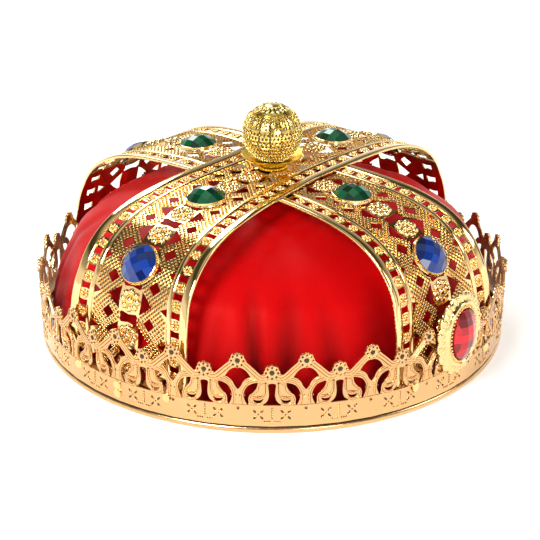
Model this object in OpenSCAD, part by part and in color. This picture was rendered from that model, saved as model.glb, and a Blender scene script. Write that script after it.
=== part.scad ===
// Costume crown: pierced gold band, two crossing arches, a red cloth cap, set stones and an orb.
// The origin is the centre of the rim's underside. +Z is up and the red stone faces -Y.

/* [Band] */
// Diameter over the band
band_d = 189.2; // [170:0.2:210]
// Height of the tall flowers' tips on the band
band_top = 33; // [26:0.5:38]
// Number of lace repeats round the band
lace_repeats = 24; // [16:4:32]
// Height of the plain strip at the foot of the lace
plain_strip_top = 10.5; // [9:0.5:13]
// Height of the rim hoop below the band
hoop_h = 2.2; // [1.5:0.1:3]

/* [Arches] */
// Height of the crossing's outer face
arch_h = 67.8; // [55:0.1:80]
// Squareness of the arches' shoulders
arch_power = 4.2; // [2.5:0.1:6]
// Half width of an arch at the crossing
arch_half_top = 22; // [18:0.5:24]
// Half width of an arch at its foot
arch_half_foot = 29; // [26:0.5:31]
// How far the front-to-rear arch is turned from square to the side arch, as in the photograph
arch_skew = 5; // [0:0.5:6]
// Distance between neighbouring rosettes along an arch
pattern_pitch = 13.85; // [12:0.05:15]
// Thickness of the gold sheet
sheet_t = 0.8; // [0.6:0.1:1]

/* [Stones] */
// Diameter of the round stones
round_stone_d = 15; // [12:0.5:17]
// Width of the oval stone
oval_stone_w = 13.5; // [10:0.5:15]
// Height of the oval stone
oval_stone_h = 20.5; // [16:0.5:24]
// Width of the rosette round the oval stone
rosette_w = 27; // [22:0.5:30]
// Height of the rosette round the oval stone
rosette_h = 34.5; // [28:0.5:36]
// Height of the rosette's centre above the rim
rosette_z = 26; // [22:0.5:30]

/* [Orb] */
// Diameter of the orb
orb_d = 23.4; // [18:0.2:28]
// Height of the orb's centre above the rim
orb_z = 82; // [80:0.5:90]
// Diameter of the cup under the orb
cup_d = 24.7; // [20:0.1:28]

/* [Cap] */
// Thickness of the cloth cap with its lining
cap_t = 1.2; // [0.8:0.1:2]
// Height of the cap's top
cap_top = 62.2; // [56:0.1:62.4]

/* [Hidden] */

$fn = 48;
gold = [0.88, 0.68, 0.32];
red_cloth = [0.80, 0.06, 0.08];
eps = 0.02;

band_r = band_d / 2;
hoop_wall = 1.6;
upstand_h = 2.2;
upstand_t = 0.5;
join_gap = 0.1;
thread_gap = 0.02;

// Arches: the outer face is a superellipse from foot to foot.
arch_setback = 6;
arch_a = band_r - arch_setback;
turn_right = 0;
turn_left = 180;
turn_rear = 90 - arch_skew;
turn_front = 270 - arch_skew;
leg_turns = [turn_right, turn_left, turn_rear, turn_front];
under_arch_h = arch_h - sheet_t - join_gap;
foot_z = hoop_h + upstand_h + 3;
arch_steps = 60;
rivet_r = 1.0;
rivet_head_r = 1.7;
rivet_head_t = 0.6;
post_r = 0.9;

// Screw joint at the crossing, from the nut up to the orb.
screw_r = 1.5;
run_gap = 0.05;
turn_gap = 0.3;
disc_r = 6.2;
disc_t = 0.75;
neck_r = 5.5;
neck_t = 2;
cup_t = 0.8;
washer_t = 0.6;
nut_t = 2.2;
head_r = 2.8;
head_t = 2;
disc_z = arch_h + 0.05;
neck_z = disc_z + disc_t + turn_gap;
cup_z = neck_z + neck_t;
orb_floor_z = cup_z + cup_t;
orb_r = orb_d / 2;
orb_t = 0.8;
head_z = orb_floor_z + orb_t + turn_gap;
washer_z = under_arch_h - sheet_t - 0.05 - washer_t;
nut_z = washer_z - nut_t;

// Stone settings
stone_gap = 0.05;
bezel_t = 0.4;
bezel_h = 1.9;
girdle_h = 1.3;

// ---- Shared shapes -------------------------------------------------------------------------

// A round wall of outer radius r and thickness t, from z0 up to z1.
module round_wall(r, t, z0, z1) {
    translate([0, 0, z0]) difference() {
        cylinder(r = r, h = z1 - z0, $fn = 144);
        translate([0, 0, -1]) cylinder(r = r - t, h = z1 - z0 + 2, $fn = 144);
    }
}

// Distance from the centre to an arch's face in the direction e degrees above the floor.
function arch_radius(e, a, h) =
    pow(pow(abs(cos(e)) / a, arch_power) + pow(sin(e) / h, arch_power), -1 / arch_power);

// The points of an arch's face from foot to foot.
function arch_face(a, h) = let (foot = atan2(foot_z, a), turn = (180 - 2 * foot) / arch_steps)
    [for (i = [0:arch_steps]) let (e = foot + i * turn) arch_radius(e, a, h) * [cos(e), sin(e)]];

// Arc length, x, z and slope of the outer face, counted from the crossing down one leg.
half_face = [for (e = [90:-0.5:4]) arch_radius(e, arch_a, arch_h) * [cos(e), sin(e)]];
function run_lengths(p, i = 0, s = 0) =
    i >= len(p) - 1 ? [s] : concat([s], run_lengths(p, i + 1, s + norm(p[i + 1] - p[i])));
half_arc = run_lengths(half_face);
function arch_x(s) = lookup(s, [for (i = [0:len(half_arc) - 1]) [half_arc[i], half_face[i][0]]]);
function arch_z(s) = lookup(s, [for (i = [0:len(half_arc) - 1]) [half_arc[i], half_face[i][1]]]);
function arch_slope(s) = atan2(arch_z(s - 0.5) - arch_z(s + 0.5), arch_x(s + 0.5) - arch_x(s - 0.5));

// Puts its children on the outer face of a leg, s along it, drop below the side arch's height.
module on_arch(turn, s, drop = 0) {
    rotate([0, 0, turn])
        translate([arch_x(s), 0, arch_z(s) - drop * (arch_z(s) / arch_h)])
            rotate([0, arch_slope(s), 0]) children();
}

// Half width of an arch at the distance x from the crossing, seen from above.
function arch_half(x) = lookup(x, [
    [0, arch_half_top],
    [0.74 * arch_a, arch_half_top + 0.53 * (arch_half_foot - arch_half_top)],
    [0.95 * arch_a, arch_half_top + 0.72 * (arch_half_foot - arch_half_top)],
    [arch_a, arch_half_foot]]);

// ---- Band ----------------------------------------------------------------------------------

lace_turn = 360 / lace_repeats;
lace_w = 2 * PI * band_r / lace_repeats;

// A cutter that stands out along +X through the wall, drawn in the wall's own plane.
module through_wall(turn) {
    rotate([0, 0, turn]) translate([band_r - 16, 0, 0]) rotate([90, 0, 90])
        linear_extrude(height = 20) children();
}

module notch() {
    polygon([[-0.36 * lace_w, band_top + 1], [-0.30 * lace_w, band_top - 4],
        [-0.09 * lace_w, band_top - 8.5], [-0.09 * lace_w, band_top - 4.5],
        [0.09 * lace_w, band_top - 4.5], [0.09 * lace_w, band_top - 8.5],
        [0.30 * lace_w, band_top - 4], [0.36 * lace_w, band_top + 1]]);
}

module kite_opening() {
    polygon([[0, 13.2], [4.2, 19.5], [2.8, 22.2], [-2.8, 22.2], [-4.2, 19.5]]);
}

module bottle_opening() {
    polygon([[-3.2, plain_strip_top], [3.2, plain_strip_top], [1.3, 13.4], [1.2, 18],
        [-1.2, 18], [-1.3, 13.4]]);
}

module seam_lap() {
    intersection() {
        round_wall(band_r - sheet_t, sheet_t, hoop_h + upstand_h + join_gap,
            plain_strip_top + 1);
        translate([-band_r, -5, 0]) cube([10, 10, band_top]);
    }
}

module band() {
    color(gold) difference() {
        union() {
            round_wall(band_r, sheet_t, hoop_h + 0.4, band_top);
            seam_lap();
        }
        for (i = [0:lace_repeats - 1]) {
            through_wall(i * lace_turn) kite_opening();
            through_wall((i + 0.5) * lace_turn) bottle_opening();
            through_wall((i + 0.5) * lace_turn) notch();
        }
    }
}

// A rivet along +Z with a flat head at each end.
module rivet(length) {
    cylinder(r = rivet_head_r, h = rivet_head_t);
    cylinder(r = rivet_r, h = length);
    translate([0, 0, length - rivet_head_t]) cylinder(r = rivet_head_r, h = rivet_head_t);
}

module rim_hoop() {
    color(gold) {
        round_wall(band_r, hoop_wall, 0, hoop_h);
        round_wall(band_r - sheet_t - join_gap, upstand_t, hoop_h - eps, hoop_h + upstand_h);
    }
}

module seam_rivets() {
    color(gold) for (z = [6, 9.5])
        translate([-band_r - rivet_head_t + join_gap, 0, z]) rotate([0, 90, 0])
            rivet(2 * (sheet_t + rivet_head_t) - join_gap);
}

// ---- Arches --------------------------------------------------------------------------------

module arch_sheet(h) {
    outer = arch_face(arch_a, h);
    inner = arch_face(arch_a - sheet_t, h - sheet_t);
    rotate([90, 0, 0]) translate([0, 0, -arch_half_foot])
        linear_extrude(height = 2 * arch_half_foot)
            polygon(concat(outer, [for (i = [arch_steps:-1:0]) inner[i]]));
}

module arch_plan() {
    xs = [0, 0.74 * arch_a, 0.95 * arch_a, arch_a, arch_a + 2];
    right = [for (x = xs) [x, arch_half(x)]];
    upper = concat([for (i = [len(xs) - 1:-1:1]) [-xs[i], right[i][1]]], right);
    linear_extrude(height = arch_h + 2)
        polygon(concat(upper, [for (i = [len(upper) - 1:-1:0]) [upper[i][0], -upper[i][1]]]));
}

// Windows of one leg: a diamond between each two rosettes and a ladder along each border.
module leg_windows(turn, drop) {
    for (k = [0.5:1:6.5]) on_arch(turn, k * pattern_pitch, drop)
        rotate([0, 0, 45]) cube([5.4, 5.4, 4], center = true);
    for (j = [2:14]) on_arch(turn, j * pattern_pitch / 2, drop)
        for (side = [-1, 1])
            translate([0, side * (arch_half(arch_x(j * pattern_pitch / 2)) - 4.4), 0])
                cube([3.4, 3.6, 4], center = true);
}

module arch(h, drop, turns) {
    difference() {
        rotate([0, 0, turns[0]]) intersection() {
            arch_sheet(h);
            arch_plan();
        }
        for (turn = turns) {
            leg_windows(turn, drop);
            for (k = [3, 6]) on_arch(turn, k * pattern_pitch, drop)
                cylinder(r = post_r + join_gap, h = 6, center = true);
            for (side = [-1, 1]) rotate([0, 0, turn]) foot_rivet_axis(side)
                cylinder(r = rivet_r + join_gap, h = 20);
        }
        cylinder(r = screw_r + join_gap, h = arch_h + 5);
    }
}

module side_arch() { color(gold) arch(arch_h, 0, [turn_right, turn_left]); }
module front_rear_arch() {
    color(gold) arch(under_arch_h, arch_h - under_arch_h, [turn_rear, turn_front]);
}

rivet_side = 22;
rivet_z = foot_z + 3;

module foot_rivet_axis(side) {
    translate([arch_a - 8, side * rivet_side, rivet_z]) rotate([0, 90, 0]) children();
}

rivet_inner_x = arch_a - sheet_t - join_gap - rivet_head_t;
module foot_rivets() {
    wall_x = sqrt(band_r * band_r - rivet_side * rivet_side);
    color(gold) for (turn = leg_turns) rotate([0, 0, turn]) for (side = [-1, 1])
        translate([rivet_inner_x, side * rivet_side, rivet_z]) rotate([0, 90, 0])
            rivet(wall_x + rivet_head_t - rivet_inner_x);
}

// ---- Cap -----------------------------------------------------------------------------------

cap_gap = 0.4;
cap_flat = rivet_inner_x - cap_gap;
cap_r = band_r - sheet_t - 4 * cap_gap;
cap_turns = 48;
cap_rows = 11;
cap_low = 3;
leg_draw = 0.018;

// The cap's dome in the direction e above the floor and a round the crown, which starts cap_low
// degrees up. It is flat behind each leg, and it fills out a little in the quarters between them.
function to_leg(a) = min([for (turn = leg_turns) abs((a - turn + 540) % 360 - 180)]);
function dome_radius(e) = lookup(e, [[0, cap_r], [16, 0.995 * cap_r], [28, 0.975 * cap_r],
    [36, 0.923 * cap_r], [46, 0.836 * cap_r], [60, 0.75 * cap_r], [75, 1.035 * cap_top],
    [90, cap_top]]);
function cap_radius(a, e) = min(
    dome_radius(e) * (1 - leg_draw * pow(cos(2 * to_leg(a)), 2) * cos(e)),
    cap_flat / (cos(min(e, 80)) * cos(to_leg(a))));
function cap_point(a, e, inset) =
    (cap_radius(a, e) - inset) * [cos(e) * cos(a), cos(e) * sin(a), sin(e)];
function cap_grid(inset) = concat(
    [for (i = [0:cap_rows - 1]) for (j = [0:cap_turns - 1])
        cap_point(j * 360 / cap_turns, cap_low + (90 - cap_low) * i / cap_rows, inset)],
    [cap_point(0, 90, inset)]);
cap_count = cap_turns * cap_rows + 1;
function cap_faces(base, flip) = concat(
    [for (i = [0:cap_rows - 2]) for (j = [0:cap_turns - 1]) let (
        k = (j + 1) % cap_turns, p = base + i * cap_turns, q = p + cap_turns)
        flip ? [p + j, p + k, q + k, q + j] : [p + j, q + j, q + k, p + k]],
    [for (j = [0:cap_turns - 1]) let (
        k = (j + 1) % cap_turns, p = base + (cap_rows - 1) * cap_turns, top = base + cap_count - 1)
        flip ? [p + j, p + k, top] : [p + j, top, p + k]]);

module cap() {
    edge = [for (j = [0:cap_turns - 1]) let (k = (j + 1) % cap_turns)
        [j, k, cap_count + k, cap_count + j]];
    color(red_cloth) polyhedron(
        points = concat(cap_grid(0), cap_grid(cap_t)),
        faces = concat(cap_faces(0, false), cap_faces(cap_count, true), edge), convexity = 6);
}

hem_gap = 0.5;
hem_r = 86.8;
hem_t = 1;
hem_z = 4;
hem_h = 12;
module cap_hem() {
    hem_flat = cap_flat - cap_t - hem_gap;
    color(red_cloth) translate([0, 0, hem_z]) difference() {
        hem_solid(hem_r, hem_flat, hem_h);
        translate([0, 0, -1]) hem_solid(hem_r - hem_t, hem_flat - hem_t, hem_h + 2);
    }
}
module hem_solid(r, flat, h) {
    intersection() {
        cylinder(r = r, h = h, $fn = 120);
        translate([-flat, -r, 0]) cube([2 * flat, 2 * r, h]);
        rotate([0, 0, turn_rear]) translate([-flat, -r, 0]) cube([2 * flat, 2 * r, h]);
    }
}

// ---- Stones and settings -------------------------------------------------------------------

// A facet-cut dome on an elliptical girdle, in rings of flat facets.
module facet_dome(w, d, h, sides) {
    rings = [[1, 0], [1, girdle_h], [0.80, 0.62 * h], [0.48, 0.90 * h], [0.20, h]];
    function ring_points(i) = [for (j = [0:sides - 1]) let (a = (j + (i % 2) / 2) * 360 / sides)
        [rings[i][0] * w / 2 * cos(a), rings[i][0] * d / 2 * sin(a), rings[i][1]]];
    last = len(rings) - 1;
    hull() for (i = [0:last]) polyhedron_ring(ring_points(i));
}
module polyhedron_ring(p) {
    translate([0, 0, p[0][2]]) linear_extrude(height = 0.01) polygon([for (q = p) [q[0], q[1]]]);
}

module round_setting() {
    r = round_stone_d / 2;
    color(gold) {
        difference() {
            cylinder(r = r + stone_gap + bezel_t, h = bezel_h);
            translate([0, 0, bezel_t]) cylinder(r = r + stone_gap, h = bezel_h);
        }
        translate([0, 0, -sheet_t - 0.6]) cylinder(r = post_r, h = sheet_t + 0.6 + eps, $fn = 24);
    }
}

module round_stone(tint) {
    color(tint) translate([0, 0, bezel_t]) facet_dome(round_stone_d, round_stone_d, 4.6, 16);
}

under_drop = arch_h - under_arch_h;
green_s = 3 * pattern_pitch;
blue_s = 6 * pattern_pitch;
seat_gap = 0.05;

module seated(turn, s) {
    on_arch(turn, s, (turn == turn_front || turn == turn_rear) ? under_drop : 0)
        translate([0, 0, seat_gap]) children();
}

green = [0.02, 0.32, 0.14, 0.85];
blue = [0.08, 0.16, 0.60, 0.85];
ruby = [0.78, 0.03, 0.06, 0.85];

module green_setting_front() { seated(turn_front, green_s) round_setting(); }
module green_setting_rear() { seated(turn_rear, green_s) round_setting(); }
module green_setting_left() { seated(turn_left, green_s) round_setting(); }
module green_setting_right() { seated(turn_right, green_s) round_setting(); }
module green_stone_front() { seated(turn_front, green_s) round_stone(green); }
module green_stone_rear() { seated(turn_rear, green_s) round_stone(green); }
module green_stone_left() { seated(turn_left, green_s) round_stone(green); }
module green_stone_right() { seated(turn_right, green_s) round_stone(green); }
module blue_setting_front() { seated(turn_front, blue_s) round_setting(); }
module blue_setting_rear() { seated(turn_rear, blue_s) round_setting(); }
module blue_setting_left() { seated(turn_left, blue_s) round_setting(); }
module blue_setting_right() { seated(turn_right, blue_s) round_setting(); }
module blue_stone_front() { seated(turn_front, blue_s) round_stone(blue); }
module blue_stone_rear() { seated(turn_rear, blue_s) round_stone(blue); }
module blue_stone_left() { seated(turn_left, blue_s) round_stone(blue); }
module blue_stone_right() { seated(turn_right, blue_s) round_stone(blue); }

function oval(w, h, scallop = 0, sides = 72) = [for (j = [0:sides - 1]) let (
    a = j * 360 / sides, k = 1 - scallop * abs(sin(9 * a)))
    [k * w / 2 * cos(a), k * h / 2 * sin(a)]];

rosette_t = 1.2;
rosette_seat = 1.8;
module on_front() {
    rotate([0, 0, turn_front - 270]) translate([0, -band_r - join_gap, rosette_z])
        rotate([90, 0, 0]) children();
}

module red_rosette() {
    color(gold) on_front() difference() {
        union() {
            linear_extrude(height = rosette_t) polygon(oval(rosette_w, rosette_h, 0.06));
            linear_extrude(height = rosette_seat)
                polygon(oval(oval_stone_w + 7, oval_stone_h + 7));
            linear_extrude(height = rosette_seat + 1.6)
                polygon(oval(oval_stone_w + 1.6, oval_stone_h + 1.6));
        }
        translate([0, 0, rosette_seat])
            linear_extrude(height = 4)
                polygon(oval(oval_stone_w + 2 * stone_gap + 0.1, oval_stone_h + 2 * stone_gap + 0.1));
    }
}

module red_stone() {
    color(ruby) on_front() translate([0, 0, rosette_seat])
        facet_dome(oval_stone_w, oval_stone_h, 4.2, 18);
}

// ---- Orb -----------------------------------------------------------------------------------

module orb_shell(z0, z1) {
    intersection() {
        difference() {
            translate([0, 0, orb_z]) sphere(r = orb_r, $fn = 96);
            translate([0, 0, orb_z]) sphere(r = orb_r - orb_t, $fn = 96);
        }
        translate([-orb_d, -orb_d, z0]) cube([2 * orb_d, 2 * orb_d, z1 - z0]);
    }
}

module orb_holes(latitude, count) {
    for (i = [0:count - 1])
        translate([0, 0, orb_z]) rotate([0, -latitude, i * 360 / count])
            translate([orb_r - 3, 0, 0]) rotate([0, 90, 0]) cylinder(r = 0.8, h = 5, $fn = 24);
}

module orb_upper() {
    color(gold) difference() {
        union() {
            orb_shell(orb_z, orb_z + orb_r + 1);
            translate([0, 0, orb_z + orb_r - orb_t]) cylinder(r = 2.6, h = orb_t + 0.3);
        }
        orb_holes(12, 16);
        orb_holes(34, 12);
    }
}

module orb_lower() {
    color(gold) difference() {
        union() {
            orb_shell(orb_floor_z, orb_z);
            translate([0, 0, orb_floor_z]) cylinder(r = 6, h = orb_t);
        }
        orb_holes(-14, 16);
        translate([0, 0, orb_floor_z - 1]) cylinder(r = screw_r + run_gap, h = 4);
    }
}

module orb_cup() {
    rim_r = cup_d / 2;
    bore = screw_r + run_gap;
    color(gold) rotate_extrude($fn = 96) polygon([
        [bore, cup_z], [6, cup_z], [9.8, cup_z + 0.15], [rim_r, cup_z + 1.1],
        [rim_r - 0.2, cup_z + 1.8], [9.6, cup_z + cup_t + 0.15], [6, cup_z + cup_t],
        [bore, cup_z + cup_t]]);
}

module orb_neck() {
    color(gold) translate([0, 0, neck_z]) difference() {
        cylinder(r = neck_r, h = neck_t);
        translate([0, 0, -1]) cylinder(r = screw_r + run_gap, h = neck_t + 2);
        for (i = [0:11]) rotate([0, 0, i * 30]) translate([neck_r + 0.4, 0, -1])
            cylinder(r = 0.8, h = neck_t + 2, $fn = 24);
    }
}

module base_disc() {
    color(gold) translate([0, 0, disc_z]) difference() {
        cylinder(r = disc_r, h = disc_t);
        translate([0, 0, -1]) cylinder(r = screw_r + join_gap, h = disc_t + 2);
    }
}

module centre_screw() {
    color([0.75, 0.72, 0.66]) {
        translate([0, 0, nut_z - 0.3]) cylinder(r = screw_r, h = head_z - nut_z + 0.3 + eps);
        translate([0, 0, head_z]) difference() {
            cylinder(r = head_r, h = head_t);
            translate([-head_r - 1, -0.35, head_t - 0.8]) cube([2 * head_r + 2, 0.7, 2]);
        }
    }
}

module crossing_washer() {
    color([0.75, 0.72, 0.66]) translate([0, 0, washer_z]) difference() {
        cylinder(r = 6, h = washer_t);
        translate([0, 0, -1]) cylinder(r = screw_r + join_gap, h = washer_t + 2);
    }
}

module crossing_nut() {
    color([0.75, 0.72, 0.66]) translate([0, 0, nut_z]) difference() {
        cylinder(r = 3.2, h = nut_t - 0.05, $fn = 6);
        translate([0, 0, -1]) cylinder(r = screw_r + thread_gap, h = nut_t + 2);
    }
}

band();
rim_hoop();
seam_rivets();
side_arch();
front_rear_arch();
foot_rivets();
cap();
cap_hem();
red_rosette();
red_stone();
green_setting_front();
green_setting_rear();
green_setting_left();
green_setting_right();
green_stone_front();
green_stone_rear();
green_stone_left();
green_stone_right();
blue_setting_front();
blue_setting_rear();
blue_setting_left();
blue_setting_right();
blue_stone_front();
blue_stone_rear();
blue_stone_left();
blue_stone_right();
orb_upper();
orb_lower();
orb_cup();
orb_neck();
base_disc();
centre_screw();
crossing_washer();
crossing_nut();
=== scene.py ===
# Costume crown: looks for the CAD frame. Lengths are in mm unless a name says otherwise.
import math

import bmesh
import bpy
import numpy as np
from mathutils import Matrix, Vector
from mathutils.geometry import delaunay_2d_cdt


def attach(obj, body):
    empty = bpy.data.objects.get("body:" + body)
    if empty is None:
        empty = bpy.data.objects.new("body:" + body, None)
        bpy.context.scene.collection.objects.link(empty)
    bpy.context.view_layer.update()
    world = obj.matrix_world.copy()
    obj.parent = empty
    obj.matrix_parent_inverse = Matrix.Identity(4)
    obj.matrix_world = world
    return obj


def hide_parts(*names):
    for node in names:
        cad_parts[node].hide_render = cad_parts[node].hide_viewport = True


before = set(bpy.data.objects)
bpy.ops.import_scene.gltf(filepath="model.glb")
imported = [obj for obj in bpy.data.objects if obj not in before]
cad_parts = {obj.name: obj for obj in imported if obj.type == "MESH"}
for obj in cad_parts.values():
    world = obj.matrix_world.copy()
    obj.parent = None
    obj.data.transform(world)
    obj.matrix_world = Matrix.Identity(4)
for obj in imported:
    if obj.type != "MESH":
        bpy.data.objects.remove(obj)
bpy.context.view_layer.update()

MM = 0.001
TAU = 2 * math.pi

# Measures shared with part.scad
BAND_R = 94.6  # outer face of the band
ARCH_SKEW = math.radians(5)  # how far the arches are from square to each other
ARCH_A = 88.6  # half span of the arches
ARCH_H = 67.8  # height of the side arch, which lies on top
UNDER_ARCH_H = 66.9  # height of the front-to-rear arch
ARCH_POWER = 4.2  # 2 would be an ellipse, more is squarer
FRONT_REAR_TURN = math.pi / 2 - ARCH_SKEW
LEG_TURNS = (0.0, math.pi, FRONT_REAR_TURN, FRONT_REAR_TURN + math.pi)
ARCH_WIDTHS = ([0, 65.56, 84.17, 88.6], [22.0, 25.7, 27.1, 29.0])  # distance out, half width
PITCH = 13.85  # from one row of the arches' pattern to the next
FOOT_Z = 7.4  # height of the ends of the arches' feet
STONE_R = 7.5
ORB_R = 11.7
ORB_Z = 82.0  # height of the ball's centre

# Measures of the looks only
PRESSED_T = 0.4  # thickness of the pressed sheet
SINK = 0.1  # how far raised work starts below the face it stands on


# ---- Materials ----

def node_tools(owner):
    """Two functions, which make nodes and links in a material or a world."""
    tree = owner.node_tree

    def link(source, output, target, entry):
        tree.links.new(source.outputs[output], target.inputs[entry])

    return tree.nodes.new, link


def set_inputs(node, values):
    for name, value in values.items():
        node.inputs[name].default_value = value


def new_material(name, color, roughness, metallic=0.0):
    material = bpy.data.materials.new(name)
    material.use_nodes = True
    shader = material.node_tree.nodes["Principled BSDF"]
    set_inputs(shader, {"Base Color": (*color, 1), "Roughness": roughness, "Metallic": metallic})
    return material, shader


def add_relief(material, shader, texture, scale, strength, distance):
    """Gives a material fine relief from a texture in object space."""
    new, link = node_tools(material)
    coords = new("ShaderNodeTexCoord")
    relief = new(texture)
    bump = new("ShaderNodeBump")
    set_inputs(relief, {"Scale": scale})
    set_inputs(bump, {"Strength": strength, "Distance": distance})
    link(coords, "Object", relief, "Vector")
    link(relief, "Fac", bump, "Height")
    link(bump, "Normal", shader, "Normal")
    return relief


def tone_from(material, shader, attribute, low, high):
    """Colours a material between two colours by an attribute of the mesh."""
    new, link = node_tools(material)
    tone = new("ShaderNodeAttribute")
    ramp = new("ShaderNodeValToRGB")
    tone.attribute_name = attribute
    ramp.color_ramp.elements[0].color = (*low, 1)
    ramp.color_ramp.elements[1].color = (*high, 1)
    link(tone, "Fac", ramp, "Fac")
    link(ramp, "Color", shader, "Base Color")


def gold_finish(name, color, low, high, dents):
    """Gold plate with dents of a given strength, whose noise also moves the roughness."""
    material, shader = new_material(name, color, low, metallic=1.0)
    noise = add_relief(material, shader, "ShaderNodeTexNoise", 420, dents, 0.0004)
    new, link = node_tools(material)
    spread = new("ShaderNodeMapRange")
    set_inputs(spread, {"To Min": low, "To Max": high})
    link(noise, "Fac", spread, "Value")
    link(spread, "Result", shader, "Roughness")
    return material


SATIN_RED = (0.55, 0.0006, 0.002)
# Colour of the painted shade in the satin's folds and low down near the band
SATIN_PAINTED_SHADE = (0.13, 0.0, 0.0005)


def satin():
    """Red satin, with painted shade where its shade attribute marks the folds and the low part near
    the band.
    """
    material, shader = new_material("red_satin", SATIN_RED, 0.5)
    tone_from(material, shader, "painted_cloth_shade", SATIN_RED, SATIN_PAINTED_SHADE)
    set_inputs(shader, {"Specular IOR Level": 0.16, "Specular Tint": (1.0, 0.35, 0.3, 1),
                        "Sheen Weight": 0.06, "Sheen Roughness": 0.35,
                        "Sheen Tint": (1.0, 0.12, 0.1, 1)})
    add_relief(material, shader, "ShaderNodeTexNoise", 1500, 0.25, 0.0002)
    return material


def ribbon():
    """Dark red ribbon with fine ribs across it."""
    material, shader = new_material("hem_ribbon", (0.36, 0.008, 0.014), 0.55)
    ribs = add_relief(material, shader, "ShaderNodeTexWave", 300, 0.5, 0.0003)
    ribs.bands_direction = "Z"
    return material


def glass(name, dark, light):
    """Foil-backed glass: each facet gets its own brightness from the facet attribute, painted
    flashes that stand for the foil's reflections.
    """
    material, shader = new_material(name, dark, 0.03, metallic=0.2)
    tone_from(material, shader, "facet_painted_flash", dark, light)
    set_inputs(shader, {"Specular IOR Level": 0.3, "Coat Weight": 0.7, "Coat Roughness": 0.02})
    return material


GOLD = gold_finish("gold_polished", (0.92, 0.65, 0.30), 0.05, 0.14, 0.05)
GOLD_CAST = gold_finish("gold_cast", (0.75, 0.46, 0.21), 0.14, 0.30, 0.18)
GOLD_BALL = gold_finish("gold_ball", (0.84, 0.65, 0.23), 0.14, 0.24, 0.05)
GOLD_WARM = gold_finish("gold_warm", (1.0, 0.68, 0.05), 0.34, 0.46, 0.05)
# Dark colour for the floors of pits and the rim's groove: painted shade where the hollows lie in
# shadow
PIT_SHADE = new_material("gold_pit_painted_shade", (0.05, 0.022, 0.004), 0.6)[0]
SATIN = satin()
RIBBON = ribbon()
GREEN = glass("green_glass", (0.0005, 0.012, 0.005), (0.003, 0.12, 0.045))
BLUE = glass("blue_glass", (0.002, 0.006, 0.05), (0.012, 0.06, 0.38))
RED = glass("red_glass", (0.10, 0.0005, 0.002), (0.80, 0.004, 0.012))
STEEL = new_material("zinc_steel", (0.60, 0.58, 0.53), 0.30, metallic=1.0)[0]


# ---- Meshes ----

def to_mesh(name, verts, faces, material, smooth_angle=50, pits=None):
    """A mesh from points in mm. Faces that the shade mask marks get a dark colour, painted shade for
    the floors of pits.
    """
    mesh = bpy.data.meshes.new(name)
    mesh.from_pydata((np.asarray(verts, float) * MM).tolist(), [], faces)
    mesh.materials.append(material)
    if pits is not None:
        mesh.materials.append(PIT_SHADE)
        mesh.polygons.foreach_set("material_index", np.array(pits, np.int32))
    mesh.shade_smooth()
    mesh.set_sharp_from_angle(angle=math.radians(smooth_angle))
    return mesh


def new_object(name, data):
    item = bpy.data.objects.new(name, data)
    bpy.context.scene.collection.objects.link(item)
    return item


def add_piece(name, mesh, replaces, body="crown", matrix=None):
    """A piece of the looks, which stands for some of the CAD's nodes."""
    piece = new_object(name, mesh)
    if matrix is not None:
        piece.matrix_world = matrix
    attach(piece, body)
    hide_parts(*replaces)
    return piece


def points_at(x, y, z):
    """Points from three rows of coordinates. A row may also be one number for all."""
    return np.column_stack(np.broadcast_arrays(x, y, z))


def angles(count):
    """Evenly spaced angles round a whole turn."""
    return np.arange(count) * TAU / count


def turned(points, angle):
    """Points turned about the Z axis."""
    c, s = math.cos(angle), math.sin(angle)
    x, y, z = points.T
    return points_at(x * c - y * s, x * s + y * c, z)


class Relief:
    """Metal work drawn flat, as points (x, y, height), and then laid on a curved sheet."""

    def __init__(self):
        self.verts = []
        self.faces = []
        self.pits = []
        self.count = 0

    def add(self, verts, faces, pits=0):
        """Adds a part. Its last few faces, as many as the shade count says, are the floors of pits,
        which get painted shade.
        """
        verts = np.asarray(verts, float)
        self.verts.append(verts)
        self.faces += [[i + self.count for i in face] for face in faces]
        self.pits += [False] * (len(faces) - pits) + [True] * pits
        self.count += len(verts)

    def join(self, other, shift=(0, 0, 0)):
        """Adds all of another relief, moved by shift."""
        self.verts.append(other.points() + shift)
        self.faces += [[i + self.count for i in face] for face in other.faces]
        self.pits += other.pits
        self.count += other.count

    def stamp(self, shape, centres, turns=None):
        """Copies a small shape to each centre, turned by the angle that goes with it."""
        verts, faces, pits = shape
        for i, (x, y) in enumerate(centres):
            moved = verts if turns is None else turned(verts, turns[i])
            self.add(moved + (x, y, 0), faces, pits)

    def ridge(self, path, profile):
        """Sweeps a profile of (offset to the left, height) along a path of (x, y)."""
        path = np.asarray(path, float)
        along = np.gradient(path, axis=0)
        along /= np.linalg.norm(along, axis=1)[:, None]
        left = np.column_stack([-along[:, 1], along[:, 0]])
        rows = [points_at(*(path + left * offset).T, height) for offset, height in profile]
        self.net(np.stack(rows, 1))

    def net(self, grid):
        """Adds a grid of points as quads, with a cap on its first and its last row."""
        n, m = grid.shape[:2]
        faces = [[i * m + j, i * m + j + 1, (i + 1) * m + j + 1, (i + 1) * m + j]
                 for i in range(n - 1) for j in range(m - 1)]
        faces.append(list(range(m))[::-1])
        faces.append([(n - 1) * m + j for j in range(m)])
        self.add(grid.reshape(-1, 3), faces)

    def mirror_x(self):
        """Adds the mirror image across x = 0."""
        faces = [[i + self.count for i in face[::-1]] for face in self.faces]
        self.verts.append(self.points() * (-1, 1, 1))
        self.faces += faces
        self.pits += self.pits
        self.count *= 2

    def points(self):
        return np.concatenate(self.verts)

    def laid(self, place):
        """A copy with all its points moved by a function."""
        copy = Relief()
        copy.join(self)
        copy.verts = [place(self.points())]
        return copy


def ring(radius, height, sides, stretch=1.0):
    """Points round a circle, or round an ellipse where stretch isn't 1."""
    a = angles(sides)
    return points_at(radius * np.cos(a), stretch * radius * np.sin(a), height)


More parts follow.
